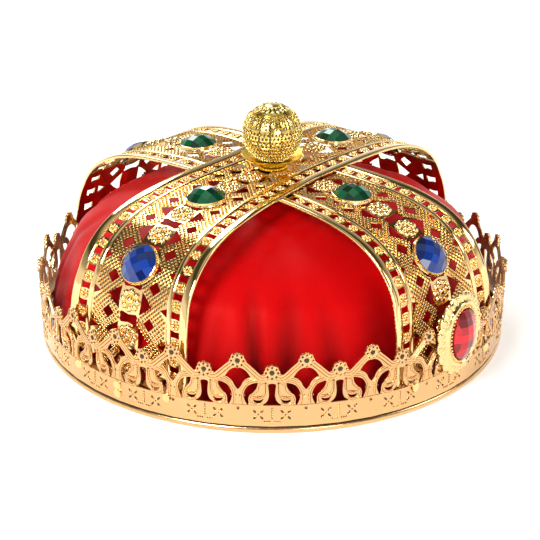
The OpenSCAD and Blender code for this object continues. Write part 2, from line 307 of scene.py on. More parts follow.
def stack_of_rings(rings, tip=None, closed=False):
    """Joins rings of equal count into a skin, closed by a tip or back to the first ring."""
    n, sides = len(rings), len(rings[0])
    verts = np.concatenate(rings)
    faces = [[k * sides + i, k * sides + (i + 1) % sides,
              (k + 1) % n * sides + (i + 1) % sides, (k + 1) % n * sides + i]
             for k in range(n if closed else n - 1) for i in range(sides)]
    if tip is not None:
        top = len(verts)
        base = (n - 1) * sides
        verts = np.vstack([verts, (0, 0, tip)])
        faces += [[base + i, base + (i + 1) % sides, top] for i in range(sides)]
    return verts, faces


def pitted_bead(radius, height, pit, sides=7, stretch=1.0):
    """A bead with a pit in it, as on the woven parts. The pit's floor is dark with painted shade."""
    rows = ((radius, -SINK), ((radius + pit) / 2, height), (pit, 0.6 * height))
    verts, faces = stack_of_rings([ring(r, h, sides, stretch) for r, h in rows], tip=0.05)
    return verts, faces, sides


def bead(radius, height, sides=8, stretch=1.0):
    """A round or long bead without a pit."""
    rows = ((radius, -SINK), (0.85 * radius, 0.6 * height), (0.45 * radius, 0.93 * height))
    verts, faces = stack_of_rings([ring(r, h, sides, stretch) for r, h in rows], tip=height)
    return verts, faces, 0


def lifted(shape, height):
    """A small shape raised by a height."""
    verts, faces, pits = shape
    return verts + (0, 0, height), faces, pits


def places_round(count, half_w, half_h, phase=0.0):
    """Evenly spaced places round a circle or an ellipse."""
    return [(half_w * math.cos(t), half_h * math.sin(t)) for t in angles(count) + phase]


def is_inside(points, loop):
    """Which points lie inside a closed outline."""
    x, y = points[:, 0][:, None], points[:, 1][:, None]
    a, b = loop, np.roll(loop, -1, 0)
    spans = (a[:, 1] > y) != (b[:, 1] > y)
    rise = np.where(a[:, 1] == b[:, 1], 1e-9, b[:, 1] - a[:, 1])
    crossing = a[:, 0] + (y - a[:, 1]) * (b[:, 0] - a[:, 0]) / rise
    return (spans & (x < crossing)).sum(1) % 2 == 1


def on_sheet(points, loops):
    """Which points lie inside the outline, the first loop, and outside every hole after it."""
    good = is_inside(points, loops[0])
    for loop in loops[1:]:
        good &= ~is_inside(points, loop)
    return good


def pierce(outline, holes, spacing):
    """Triangles of a flat sheet with holes, and with inner points so that it can bend."""
    loops = [np.asarray(loop, float) for loop in [outline, *holes]]
    low, high = loops[0].min(0), loops[0].max(0)
    step = np.asarray(spacing, float)
    start = low + step / 2
    grid = np.stack(np.meshgrid(np.arange(start[0], high[0], step[0]),
                                np.arange(start[1], high[1], step[1])), -1).reshape(-1, 2)
    points, edges = [], []
    for loop in loops:
        first, n = len(points), len(loop)
        points += [Vector(p) for p in loop]
        edges += [(first + i, first + (i + 1) % n) for i in range(n)]
    points += [Vector(p) for p in grid[on_sheet(grid, loops)]]
    verts, _, faces = delaunay_2d_cdt(points, edges, [], 0, 1e-5)[:3]
    verts = np.array([tuple(v) for v in verts])
    centres = np.array([verts[face].mean(0) for face in faces])
    return verts, [face for face, kept in zip(faces, on_sheet(centres, loops)) if kept]


def thicken(verts, faces, thickness):
    """A closed sheet: flat triangles at height 0, their copy below, and walls."""
    n = len(verts)
    top = points_at(*verts.T, 0.0)
    back = points_at(*verts.T, -thickness)
    used = {(f[i], f[(i + 1) % len(f)]) for f in faces for i in range(len(f))}
    walls = [[b, a, a + n, b + n] for a, b in used if (b, a) not in used]
    return np.vstack([top, back]), faces + [[i + n for i in f[::-1]] for f in faces] + walls


# ---- Arches ----

class ArchFace:
    """The outer face of an arch. s runs along it from the crossing and v across it."""

    def __init__(self, height):
        e = np.radians(np.linspace(90, 2, 1761))  # down from the top in steps of 0.05 degree
        r = ((np.cos(e) / ARCH_A) ** ARCH_POWER + (np.sin(e) / height) ** ARCH_POWER)
        r **= -1 / ARCH_POWER
        self.x, self.z = r * np.cos(e), r * np.sin(e)
        self.x[0] = 0
        steps = np.hypot(np.diff(self.x), np.diff(self.z))
        self.s = np.concatenate([[0], np.cumsum(steps)])
        self.nx = -np.gradient(self.z, self.s)
        self.nz = np.gradient(self.x, self.s)
        self.end = float(np.interp(-FOOT_Z, -self.z, self.s))

    def half_width(self, s):
        """Half the arch's width at s, which grows with the distance out from the crossing."""
        return np.interp(np.interp(np.abs(s), self.s, self.x), *ARCH_WIDTHS)

    def place(self, points):
        """Lays (s, v, height) on the face."""
        s, v, h = points.T
        a = np.abs(s)
        x, z, nx, nz = (np.interp(a, self.s, c) for c in (self.x, self.z, self.nx, self.nz))
        return points_at(np.sign(s) * (x + h * nx), v, z + h * nz)

    def frame_at(self, s):
        """Matrix that stands a stone on the face at s, with +Z out of it."""
        point, tip = (Vector(p) for p in self.place(np.array([[s, 0, 0], [s, 0, 1]])) * MM)
        up = (tip - point).normalized()
        across = Vector((0, 1, 0))
        along = across.cross(up)
        turn = Matrix((along, across, up)).transposed().to_4x4()
        return Matrix.Translation(point) @ turn


# Across an arch, as distances in from its edge: a smooth strip, a ladder and a second strip
OUTER_STRIP = 3.7
LADDER = 7.8
INNER_STRIP = 9.9

# Rows of the pattern, counted from the crossing, that hold a stone
GREEN_K = 3
BLUE_K = 6

# The woven field: two families of bead rows that slant both ways from the middle line
LATTICE_START = 4.15
LATTICE_V = 1.0
LATTICE_S = PITCH / 14
LATTICE_ROWS = 12
LATTICE_REACH = 7
BEAD_R = 0.7
NOTCH_V = 14.3  # no beads beyond this on a row, where the notch is

# Openings, as (s, v) about the middle of a row or between two rows
KITE = [(-4.6, 4.9), (0, 5.2), (4.6, 4.9), (2.2, 8.2), (0, 11.3), (-2.2, 8.2)]
BOW = [(0, 4.0), (1.3, 4.4), (2.2, 3.6), (1.6, 0), (2.2, -3.6), (1.3, -4.4), (0, -4.0),
       (-1.3, -4.4), (-2.2, -3.6), (-1.6, 0), (-2.2, 3.6), (-1.3, 4.4)]
DIAMOND = [(0, 7.3), (1.4, 8.75), (2.8, 10.1), (1.4, 11.45), (0, 12.9), (-1.4, 11.45),
           (-2.8, 10.1), (-1.4, 8.75)]
DIAMOND_TOP = 12.9
NOTCH_TOP = 15.2  # a notch is cut where the field is at least this wide
WINDOW = [(-1.4, -2.15), (1.4, -2.15), (1.1, 0), (1.4, 2.15), (-1.4, 2.15), (-1.1, 0)]


def rosette_rows(face):
    """Rows that hold a rosette or a stone."""
    return range(-int(face.end / PITCH), int(face.end / PITCH) + 1)


def half_rows(face):
    """Places midway between those rows."""
    last = int(face.end / PITCH - 0.75)
    return [k + 0.5 for k in range(-last - 1, last + 1)]


def both_sides(shape, s0, v0=0.0):
    """An opening moved to s0 and v0, and its mirror image across the middle line."""
    return [[(s0 + s, side * (v0 + v)) for s, v in shape] for side in (-1, 1)]


def arch_holes(face):
    """Kites and notches at the rows, bows and diamonds between them, windows at the edges."""
    holes = []
    for k in rosette_rows(face):
        border = face.half_width(k * PITCH) - INNER_STRIP
        if k != 0:
            holes += both_sides(KITE, k * PITCH)
        if k != 0 and border > NOTCH_TOP:
            holes += both_sides([(0, 14.4), (1.7, border), (-1.7, border)], k * PITCH)
    for k in half_rows(face):
        holes.append([(k * PITCH + s, v) for s, v in BOW])
        if face.half_width(k * PITCH) - INNER_STRIP > DIAMOND_TOP:
            holes += both_sides(DIAMOND, k * PITCH)
    last = int((face.end - 3) / (PITCH / 2))
    for j in range(-last, last + 1):
        s0 = j * PITCH / 2
        holes += both_sides(WINDOW, s0, face.half_width(s0) - (OUTER_STRIP + LADDER) / 2)
    return holes


def arch_outline(face):
    """The arch laid flat, from foot to foot."""
    s = np.linspace(-face.end, face.end, 181)
    right = np.column_stack([s, face.half_width(s)])
    return np.vstack([right[::-1], right * (1, -1)])


def lattice_points(face, clear):
    """Centres of the small woven beads that fill the field round the openings."""
    centres = set()
    for k in half_rows(face):
        for i in range(LATTICE_ROWS):
            for j in range(LATTICE_ROWS):
                in_opening = 2 <= i <= 4 and 2 <= j <= 4
                if in_opening or i + j == 0 or abs(i - j) > LATTICE_REACH:
                    continue
                s = k * PITCH + LATTICE_S * (i - j)
                v = LATTICE_START + LATTICE_V * (i + j)
                edge = float(face.half_width(s)) - INNER_STRIP - 0.8 * BEAD_R
                off_row = abs((s / PITCH + 0.5) % 1 - 0.5) * PITCH
                in_notch = v > NOTCH_V and off_row < 0.7 * (v - NOTCH_V) + 0.6
                if v < edge and not in_notch and abs(s) < face.end - 1 and clear(s, v):
                    centres.add((round(s, 2), round(v, 2)))
    return sorted(centres) + [(s, -v) for s, v in sorted(centres)]


# Sections across the two smooth strips: (distance in from the arch's edge, height)
STRIP_PROFILE = [(0.0, -0.4), (0.0, 0.45), (0.2, 0.7), (0.7, 0.8), (3.0, 0.62), (3.5, 0.45),
                 (3.7, -0.1)]
INNER_PROFILE = [(7.8, -0.1), (7.85, 0.35), (8.1, 0.5), (8.85, 0.55), (9.6, 0.45),
                 (9.85, 0.3), (9.9, -0.1)]
UNDER_EDGE = 22.3  # half width of the upper arch, with a little room
DISC_CLEAR = 6.8  # no raised work nearer the crossing than this, for the beaded disc
STRIP_STEP = 1.6
STRIP_SPAN = (12, 22)  # how far from the middle line the strips lie
ROSETTE_CLEAR, BUD_CLEAR = 4.4, 2.1


def out_of_cover(v, way):
    """Where the lower arch comes out from under the upper one, at v across it."""
    return (UNDER_EDGE - way * v * math.cos(FRONT_REAR_TURN)) / math.sin(FRONT_REAR_TURN)


def strips(relief, face, way, side, start):
    """The smooth strips along one edge of one arm, from start to the foot."""
    s = way * np.linspace(start, face.end, int((face.end - start) / STRIP_STEP) + 2)
    w = face.half_width(s)
    for profile in (STRIP_PROFILE, INNER_PROFILE):
        rows = [points_at(s, side * (w - d), h) for d, h in profile]
        relief.net(np.stack(rows[::-1] if side * way > 0 else rows, 1))


def arch_relief(face, under):
    """All raised work of one arch. The lower one has none where it is covered."""
    relief = Relief()

    def clear(s, v, margin=0.6):
        stones = min(abs(abs(s) - k * PITCH) for k in (GREEN_K, BLUE_K))
        way = 1 if s > 0 else -1
        shown = not under or abs(s) > out_of_cover(v, way) + margin
        return math.hypot(stones, v) > STONE_R + 1.0 and shown and math.hypot(s, v) > DISC_CLEAR

    for way in (-1, 1):
        for side in (-1, 1):
            start = max(out_of_cover(side * v, way) for v in STRIP_SPAN) if under else 0
            strips(relief, face, way, side, start)
    relief.stamp(pitted_bead(BEAD_R, 0.42, 0.42, 6), lattice_points(face, clear))
    for k in rosette_rows(face):
        s0 = k * PITCH
        if clear(s0, 0, ROSETTE_CLEAR):
            relief.stamp(bead(1.42, 1.15, 10), [(s0 + s, v) for s, v in places_round(8, 3.2, 3.5)])
            relief.stamp(bead(1.75, 1.5, 12), [(s0, 0)])
    buds = places_round(6, 1.3, 1.3, 0.3)
    last = int((face.end - 5) / (PITCH / 2))
    for j in range(-last, last):
        s0 = (j + 0.5) * PITCH / 2
        v0 = float(face.half_width(s0)) - (OUTER_STRIP + LADDER) / 2
        for side in (-1, 1):
            if clear(s0, side * v0, BUD_CLEAR):
                relief.stamp(bead(0.68, 0.75, 7), [(s0 + s, side * (v0 + v)) for s, v in buds])
                relief.stamp(pitted_bead(0.72, 0.95, 0.3, 8), [(s0, side * v0)])
    return relief


def build_arch(name, height, turn, under):
    """One pierced arch with its raised work."""
    face = ArchFace(height)
    work = arch_relief(face, under)
    work.add(*thicken(*pierce(arch_outline(face), arch_holes(face), (2.2, 3.0)), PRESSED_T))
    places = turned(face.place(work.points()), turn)
    mesh = to_mesh(name, places, work.faces, GOLD, pits=work.pits)
    add_piece(name + "_lace", mesh, [name])
    return face


# ---- Stones ----

GIRDLE = 1.3  # height of a stone's rim
FACET = 3.0  # from one facet to the next
ROUND_DOME = 4.6
OVAL_DOME = 4.2
COS_45 = 0.7071
MILLING = 36  # ridges round the lip of a round setting


def facet_mesh(name, half_w, half_h, dome_h, diagonal, material):
    """A glass stone cut in a chequer of facets: a short cylinder trimmed by tangent planes."""
    cut = bmesh.new()
    bmesh.ops.create_cone(cut, cap_ends=True, segments=40, radius1=half_w, radius2=half_w,
                          depth=dome_h, matrix=Matrix.Translation((0, 0, dome_h / 2)))
    stretch = half_h / half_w
    reach = int(half_h / FACET) + 1
    drop = (dome_h - GIRDLE) / half_w ** 2
    for i in range(-reach, reach + 1):
        for j in range(-reach, reach + 1):
            x, y = i * FACET, j * FACET
            if diagonal:
                x, y = (x - y) * COS_45, (x + y) * COS_45
            out = x * x + (y / stretch) ** 2
            if out > (1.02 * half_w) ** 2:
                continue
            point = Vector((x, y / stretch, dome_h - drop * out))
            normal = Vector((2 * drop * point.x, 2 * drop * point.y, 1)).normalized()
            geometry = cut.verts[:] + cut.edges[:] + cut.faces[:]
            made = bmesh.ops.bisect_plane(cut, geom=geometry, plane_co=point, plane_no=normal,
                                          clear_outer=True)
            rim = [e for e in made["geom_cut"] if isinstance(e, bmesh.types.BMEdge)]
            if len(rim) > 2:
                bmesh.ops.contextual_create(cut, geom=rim)
    bmesh.ops.scale(cut, vec=(1, stretch, 1), verts=cut.verts)
    bmesh.ops.remove_doubles(cut, verts=cut.verts, dist=0.01)
    bmesh.ops.recalc_face_normals(cut, faces=cut.faces)
    bmesh.ops.scale(cut, vec=(MM, MM, MM), verts=cut.verts)
    mesh = bpy.data.meshes.new(name)
    cut.to_mesh(mesh)
    cut.free()
    # Painted reflections: each facet gets a random brightness between the glass's dark and light
    # colours
    tone = mesh.attributes.new("facet_painted_flash", "FLOAT", "FACE")
    painted_flashes = np.random.default_rng(7).permutation(len(mesh.polygons)) / len(mesh.polygons)
    tone.data.foreach_set("value", painted_flashes ** 1.4)
    mesh.materials.append(material)
    return mesh


# Section of a round setting: distance out from the stone, height, share of the milling
BEZEL_ROWS = [(0, 0.2, 0), (-0.15, 1.3, 0), (0.05, 1.6, 1), (0.3, 1.5, 1), (0.4, 1.1, 1),
              (0.4, 0.5, 0), (0.6, 0.3, 0), (0.6, 0.0, 0)]


def bezel_mesh():
    """A thin round setting with a milled lip that holds the stone."""
    sides = 72
    inner = STONE_R + 0.02
    milling = 0.10 * np.cos(angles(sides) * MILLING)
    rings = []
    for out, height, wave in BEZEL_ROWS:
        loop = ring(1, height, sides)
        loop[:, :2] *= (inner + out + wave * milling)[:, None]
        rings.append(loop)
    verts, faces = stack_of_rings(rings)
    return to_mesh("bezel", verts, [f[::-1] for f in faces], GOLD)


def build_round_stones(side_face, front_face):
    """A green and a blue stone on each of the four arms, each in its setting."""
    bezel = bezel_mesh()
    green = facet_mesh("green_cut", STONE_R, STONE_R, ROUND_DOME, False, GREEN)
    blue = facet_mesh("blue_cut", STONE_R, STONE_R, ROUND_DOME, True, BLUE)
    spots = {"right": (side_face, 1, 0.0), "left": (side_face, -1, 0.0),
             "rear": (front_face, 1, FRONT_REAR_TURN), "front": (front_face, -1, FRONT_REAR_TURN)}
    for where, (face, way, turn) in spots.items():
        for color, k, cut in (("green", GREEN_K, green), ("blue", BLUE_K, blue)):
            stand = Matrix.Rotation(turn, 4, "Z") @ face.frame_at(way * k * PITCH)
            add_piece(f"{color}_bezel_{where}", bezel, [f"{color}_setting_{where}"], matrix=stand)
            raised = stand @ Matrix.Translation((0, 0, 0.05 * MM))
            add_piece(f"{color}_gem_{where}", cut, [f"{color}_stone_{where}"],
                      matrix=raised)


ROSETTE_Z = 26.0
STONE_W = 13.5
STONE_H = 20.5
STONE_SEAT = 1.8
GRAINS = 44
GRAIN_SEAT = 2.15
FLUTES = 36
SCALLOPS = 18

# From the seat outwards: half width, half height, height out, depth of flutes, of scallops
ROSETTE_ROWS = [(6.7, 10.2, 1.4), (7.3, 10.8, 2.1), (7.8, 11.3, 2.3), (8.1, 11.7, 2.0),
                (8.4, 12.0, 2.5), (9.0, 12.6, 2.8), (9.7, 13.3, 2.4), (9.9, 13.5, 1.5),
                (10.4, 14.0, 1.3, 0.15), (11.6, 15.2, 1.4, 0.28, 0.02),
                (12.8, 16.5, 1.0, 0.28, 0.05), (13.4, 17.1, 0.5, 0.1, 0.07),
                (13.3, 17.0, 0.0, 0.0, 0.07), (6.7, 10.2, 0.0)]


def build_rosette():
    """The oval setting at the front: fluted flange, bright ring, row of grains and stone."""
    sides = 216
    a = angles(sides)
    flutes = np.cos(a * FLUTES)
    scallop = np.abs(np.sin(a * SCALLOPS / 2))

    def loop(half_w, half_h, height, flute=0.0, bite=0.0):
        grow = 1 - bite * (1 - scallop)
        return points_at(half_w * grow * np.cos(a), half_h * grow * np.sin(a),
                         height + flute * flutes)

    rings = [loop(*row) for row in ROSETTE_ROWS]
    verts, faces = stack_of_rings(rings, closed=True)
    whole = Relief()
    whole.add(verts, [f[::-1] for f in faces])
    whole.stamp(lifted(bead(0.58, 0.75, 8), GRAIN_SEAT), places_round(GRAINS, 7.55, 11.05))
    stand = Matrix.Rotation(-ARCH_SKEW, 4, "Z") @ \
        Matrix.Translation((0, -(BAND_R + 0.1) * MM, ROSETTE_Z * MM)) @ \
        Matrix.Rotation(math.pi / 2, 4, "X")
    mesh = to_mesh("rosette", whole.points(), whole.faces, GOLD, 60)
    add_piece("red_rosette_cast", mesh, ["red_rosette"], matrix=stand)
    cut = facet_mesh("red_cut", STONE_W / 2, STONE_H / 2, OVAL_DOME, False, RED)
    raised = stand @ Matrix.Translation((0, 0, STONE_SEAT * MM))
    add_piece("red_gem", cut, ["red_stone"], matrix=raised)


# ---- Band ----

REPEATS = 24
HALF = math.pi * BAND_R / REPEATS  # from a tall flower's axis to a short one's
LACE_FOOT = 2.9  # height of the lace's lower edge, behind the groove
WELD = 0.005  # points nearer than this become one
TALL = (0.0, 29.8)  # centres of the flowers
SHORT = (HALF, 25.2)
FLOWER_R = 3.1
PETALS = 8
PETAL_DEPTH = 0.14


def on_plan(points):
    """Lays (x along the band from the front, z, height) on the band's outer face."""
    x, z, h = points.T
    a = x / BAND_R
    return points_at((BAND_R + h) * np.sin(a), -(BAND_R + h) * np.cos(a), z)


def curve(points, steps):
    """A smooth line through a few points, with so many steps from each to the next."""
    p = np.asarray(points, float)
    ends = np.vstack([2 * p[0] - p[1], p, 2 * p[-1] - p[-2]])
    line = []
    for i in range(1, len(ends) - 2):
        for t in np.arange(steps) / steps:
            a, b, c, d = ends[i - 1:i + 3]
            line.append(0.5 * (2 * b + (c - a) * t + (2 * a - 5 * b + 4 * c - d) * t * t
                               + (3 * b - a - 3 * c + d) * t ** 3))
    line.append(p[-1])
    return np.array(line)


def petals(a):
    """Radius of a flower at angle a, as a share of its largest radius."""
    return 1 - PETAL_DEPTH + PETAL_DEPTH * np.abs(np.cos(a * PETALS / 2))


def flower_edge(centre, low, high, steps):
    """The scalloped outline of a flower between two angles."""
    a = np.radians(np.linspace(low, high, steps))
    r = FLOWER_R * petals(a)
    return np.column_stack([centre[0] + r * np.cos(a), centre[1] + r * np.sin(a)])


def half_outline():
    """Outline of half a repeat, from the tall flower's axis to the short flower's axis."""
    top = np.vstack([
        flower_edge(TALL, 90, -12, 13)[:-1],
        curve([(3.3, 28.9), (5.6, 26.6), (8.0, 24.2), (9.5, 24.6)], 4),
        flower_edge(SHORT, 165, 90, 11)])
    top[0, 0] = 0
    top[-1, 0] = HALF
    return np.vstack([[(0, LACE_FOOT)], top, [(HALF, LACE_FOOT)]])


def spade():
    """Right half of the opening under the tall flower."""
    return np.vstack([curve([(0, 17.9), (1.2, 19.4), (1.9, 21.0), (3.2, 22.4), (4.7, 23.1)], 3),
                      curve([(4.7, 23.1), (3.6, 24.9), (2.6, 26.0), (1.3, 26.7), (0, 26.9)], 3)[1:]])


def from_short_axis(points):
    """Points measured to the left of the short flower's axis, turned into places on the band."""
    return np.asarray(points) * (-1, 1) + (HALF, 0)


def slit(there, back, steps):
    """A closed opening between two lines, placed from the short flower's axis."""
    return from_short_axis(np.vstack([curve(there, steps), curve(back, steps)[1:-1]]))


# Between the scroll and the rail, and in the scroll's foot
CRESCENT = slit([(8.6, 11.9), (9.3, 12.2), (10.3, 15.3), (9.6, 18.7), (7.4, 20.4), (5.1, 21.0)],
                [(5.1, 21.0), (5.6, 18.6), (7.1, 16.7), (8.1, 15.3), (8.6, 11.9)], 3)
SMILE = slit([(2.9, 14.7), (4.0, 13.9), (5.1, 13.7), (6.2, 13.9), (7.3, 14.7)],
             [(7.3, 14.7), (6.4, 13.0), (5.1, 12.5), (3.8, 13.0), (2.9, 14.7)], 2)


def bottle():
    """Left half of the opening under the short flower."""
    return from_short_axis(curve([(0, 20.7), (1.4, 20.2), (1.25, 18.0), (1.2, 15.2), (1.9, 13.2),
                                  (3.2, 12.0), (2.4, 11.7), (0, 11.7)], 3))


def weld(points, faces, length):
    """Joins points that meet, also those that meet where the strip closes into a ring."""
    keys = np.round(np.column_stack([points[:, 0] % length, points[:, 1]]) / WELD).astype(int)
    keys[:, 0] %= int(round(length / WELD))
    _, first, same = np.unique(keys, axis=0, return_index=True, return_inverse=True)
    same = same.ravel()
    return points[first], [[int(same[j]) for j in face] for face in faces]


def lace_sheet():
    """The whole band as one flat pierced strip, built from mirrored halves."""
    half = half_outline()
    # Openings on the two axes become bites out of the half outline.
    outline = np.vstack([half[:1], spade(), half[1:-1], bottle(), half[-1:]])
    verts, faces = pierce(outline, [CRESCENT, SMILE], (2.0, 2.4))
    flipped = verts * (-1, 1)
    all_verts, all_faces = [], []
    for i in range(REPEATS):
        for points, ways in ((verts, 1), (flipped, -1)):
            start = len(all_verts) * len(verts)
            all_verts.append(points + (2 * i * HALF, 0))
            all_faces += [[j + start for j in face[::ways]] for face in faces]
    return weld(np.vstack(all_verts), all_faces, 2 * REPEATS * HALF)


# Sections of the raised lines: (offset to the left, height)
RAIL = [(-1.35, -0.1), (-1.3, 0.35), (-0.72, 0.4), (-0.55, 0.08), (-0.38, 0.4), (0.38, 0.4),
        (0.55, 0.08), (0.72, 0.4), (1.3, 0.35), (1.35, -0.1)]
WIRE = [(-0.6, -0.1), (-0.52, 0.28), (-0.12, 0.34), (0.0, 0.1), (0.12, 0.34), (0.52, 0.28),
        (0.6, -0.1)]
FINE_WIRE = [(-0.35, -0.1), (-0.25, 0.25), (0.25, 0.25), (0.35, -0.1)]
SMALL_BEAD = pitted_bead(0.4, 0.25, 0.22, 7)

# A flower from its edge inwards: radius, height, how much of the petals it shows
FLOWER_ROWS = ((3.12, -SINK, 1), (2.95, 0.42, 1), (2.3, 0.62, 0.5), (1.45, 0.62, 0), (0.95, 0.35, 0))


def flower(relief, centre):
    """A flower with a pit in its middle and a small one in each petal, their floors dark with
    painted shade.
    """
    cx, cz = centre
    sides = 48
    a = angles(sides) + math.pi / 2
    rings = []
    for radius, height, lobed in FLOWER_ROWS:
        r = radius * (1 + lobed * (petals(a) - 1))
        rings.append(points_at(cx + r * np.cos(a), cz + r * np.sin(a), height))
    verts, faces = stack_of_rings(rings, tip=0.08)
    verts[-1, :2] = centre
    relief.add(verts, faces, pits=sides)
    dents = places_round(PETALS, 2.2, 2.2, math.pi / 2)
    relief.stamp(lifted(pitted_bead(0.5, 0.35, 0.36, 7), 0.58), [(cx + x, cz + z) for x, z in dents])


def lace_lines(relief):
    """Right half of the lines that edge the openings of one repeat."""
    rail = [(1.6, 28.9), (4.6, 26.1), (7.6, 23.2), (9.6, 22.6), (11.4, 23.6)]
    outer_scroll = [(1.0, 22.6), (4.4, 21.9), (8.2, 20.9), (10.4, 18.0), (10.95, 14.6), (10.6, 12.0)]
    scroll = [(2.9, 21.0), (4.6, 20.0), (4.9, 18.2), (6.2, 16.6), (7.6, 15.6), (8.0, 13.6),
              (7.0, 12.1), (5.1, 11.7), (3.4, 12.4)]
    inner_scroll = [(7.4, 14.9), (6.2, 14.6), (5.1, 14.5), (4.0, 14.8), (3.0, 15.6), (2.4, 17.0),
                    (2.3, 18.8), (2.3, 20.6)]
    spade_edge = [(0.9, 17.6), (2.2, 19.2), (2.9, 21.0), (4.0, 22.0), (5.4, 22.6)]
    relief.ridge(curve(rail, 5), RAIL)
    for line, steps in ((outer_scroll, 5), (scroll, 4), (inner_scroll, 4)):
        relief.ridge(curve(from_short_axis(line), steps), WIRE)
    relief.ridge(curve(spade_edge, 4), FINE_WIRE)
    relief.ridge([(i * HALF / 3, 11.5) for i in range(4)], FINE_WIRE)


def lace_marks(relief):
    """Right half of the small dots and dashes of one repeat."""
    dash = pitted_bead(0.95, 0.25, 0.72, 10, 0.45)
    x0 = HALF
    dots = [(x0 - 2.35, z) for z in np.arange(16.6, 21.0, 0.85)]
    dots += [(x0 - 2.9 - 0.75 * i, 15.4 - 0.12 * i) for i in range(5)]
    relief.stamp(pitted_bead(0.42, 0.45, 0.2, 6), dots)
    relief.stamp(pitted_bead(0.45, 0.3, 0.25, 7),
                 [(1.4, 17.3), (0.85, 15.6), (2.3, 15.9), (1.2, 13.6)])
    relief.stamp(SMALL_BEAD, [(x0 - 0.9 * i, 5.0) for i in range(1, 4)])
    for side in (-1, 1):
        relief.stamp(dash, [(x0 - 5 + 1.3 * side, 7.8 + 1.3 * up) for up in (-1, 1)],
                     [side * up * math.pi / 4 for up in (-1, 1)])
    relief.stamp(SMALL_BEAD, [(x0 - 5, 7.8)])


def lace_relief():
    """Raised work of one whole repeat, centred on a tall flower."""
    relief = Relief()
    lace_lines(relief)
    lace_marks(relief)
    relief.mirror_x()
    flower(relief, TALL)
    flower(relief, SHORT)
    relief.stamp(pitted_bead(0.75, 0.25, 0.45, 10), [(0, 10.2)])
    relief.stamp(SMALL_BEAD, [(HALF, 10.4 - i) for i in range(5)])
    return relief


# Section of the rim: (height out of the band's face, z). The groove's rows get the pits' dark
# colour, painted shade.
HOOP_PROFILE = [(-1.55, 0.0), (-0.4, 0.0), (0.05, 0.4), (0.2, 1.1), (0.05, 1.8), (-0.35, 2.15),
                (-0.9, 2.15), (-0.95, 4.3), (-1.4, 4.3), (-1.5, 2.2)]
GROOVE_SHADE_ROWS = (5, 6)


def build_band():
    """The pierced band with all its raised work, as one strip laid round the crown."""
    work = Relief()
    work.add(*thicken(*lace_sheet(), PRESSED_T))
    tile = lace_relief()
    for i in range(REPEATS):
        work.join(tile, (2 * i * HALF, 0, 0))
    mesh = to_mesh("band", on_plan(work.points()), work.faces, GOLD_CAST, pits=work.pits)
    add_piece("band_lace", mesh, ["band"])


def build_hoop():
    """The rolled rim below the lace, with the groove between the two darkened by painted shade."""
    steps = 288
    x = np.arange(steps) * TAU * BAND_R / steps
    verts, faces = stack_of_rings([points_at(x, z, h) for h, z in HOOP_PROFILE], closed=True)
    # Painted shade: the groove's faces get the dark pit colour
    groove_shade = [i // steps in GROOVE_SHADE_ROWS for i in range(len(faces))]
    mesh = to_mesh("hoop", on_plan(verts), [f[::-1] for f in faces], GOLD_CAST, 40, pits=groove_shade)
    add_piece("rim_hoop_rolled", mesh, ["rim_hoop"])


# ---- Orb ----

ORB_SECTORS = 16
SECTOR = 360 / ORB_SECTORS
ORB_LOW, ORB_TOP = -58.0, 78.0  # latitudes between which the ball has its pattern
ORB_DOT_LATS = range(14, -51, -8)
ORB_KNOT_LATS = (25.0, 31.5, 38.0, 44.5)
ORB_LINES = (20.5, 50.0, 54.0)
LINE_PROFILE = ((-1.4, -SINK), (-0.8, 0.4), (0.8, 0.4), (1.4, -SINK))  # (degrees up, height)
LOZENGE_LAT = 35.5
PETAL_LAT = 67.0
SLIT_LAT = 66.0

# Closing pieces of the ball: (radius, height over the ball's centre)
KNOB_ROWS = ((3.0, 10.9), (2.9, 11.6), (2.3, 11.8), (1.2, 11.95))
KNOB_TIP = 12.0
FLOOR_ROWS = ((7.4, -9.8), (6.6, -10.25), (1.8, -10.28))


def on_orb(points):
    """Lays (degrees round, degrees up, height) on the orb."""
    lon, lat, h = np.radians(points[:, 0]), np.radians(points[:, 1]), points[:, 2]
    r = ORB_R + h
    return points_at(r * np.cos(lat) * np.cos(lon), r * np.cos(lat) * np.sin(lon),
                     ORB_Z + r * np.sin(lat))


def orb_spot(lon, lat, shape):
    """A small shape in mm, bent to degrees round and up about a spot on the orb."""
    verts, faces, pits = shape
    degree = math.degrees(1 / ORB_R)
    out = verts.copy()
    out[:, 0] = lon + verts[:, 0] * degree / math.cos(math.radians(lat))
    out[:, 1] = lat + verts[:, 1] * degree
    return out, faces, pits


def orb_sector():
    """One of the alike sectors of the ball, flat in degrees."""
    edge = SECTOR / 2
    outline = [(-edge, ORB_LOW), (edge, ORB_LOW), (edge, ORB_TOP), (-edge, ORB_TOP)]
    slit = orb_spot(SECTOR / 4, SLIT_LAT, (ring(0.45, 0, 10, 3.0), [], 0))[0][:, :2]
    sector = Relief()
    sector.add(*orb_spot(-SECTOR / 4, LOZENGE_LAT, bead(0.95, 0.7, 10, 2.2)))
    knots = [(lon, lat, 0.72, 0.6) for lat in ORB_KNOT_LATS for lon in (1.8, 9.4)]
    dots = [((dot + row % 2 / 2) * SECTOR / 3, lat, 0.76, 0.55)
            for row, lat in enumerate(ORB_DOT_LATS) for dot in (-1, 0, 1)]
    for lon, lat, size, pit in knots + dots:
        radius = size * math.cos(math.radians(lat))
        sector.add(*orb_spot(lon, lat, pitted_bead(radius, 0.4, pit * radius, 8)))
    sector.add(*orb_spot(-SECTOR / 4, PETAL_LAT, bead(0.75, 0.6, 8, 2.6)))
    sector.add(*thicken(*pierce(outline, [slit], (3.2, 4.0)), PRESSED_T))
    return sector


